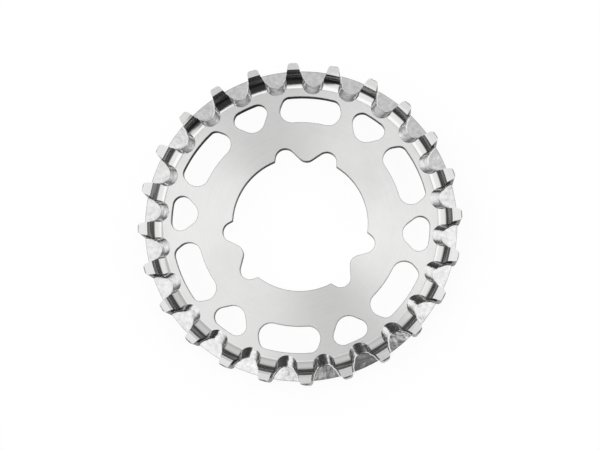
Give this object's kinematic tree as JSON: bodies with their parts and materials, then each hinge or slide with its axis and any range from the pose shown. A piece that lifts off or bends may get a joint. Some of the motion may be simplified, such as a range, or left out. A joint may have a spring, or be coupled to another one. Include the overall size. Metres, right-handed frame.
{
  "type": "belt drive sprocket",
  "caption": "Rear sprocket for a bicycle toothed-belt drive: a thin windowed plate with a lobed bore, and a rim of round-bottomed tooth gaps split by a centre fin that guides the belt.",
  "frame": {"origin": "on the axis of the bore, in the middle plane of the centre fin, which is halfway between the two tooth ends", "axes": "+Z is the axis of the bore, pointing to the outer side where the plate is flush with the rim's shoulder; +Y runs through one driving lobe of the bore; +X completes the right-handed frame"},
  "size_m": [0.082, 0.082, 0.0126],
  "materials": {
    "steel": "turned and milled bare stainless steel, satin"
  },
  "bodies": {
    "root": {"sprocket": "steel"}
  },
  "joints": []
}
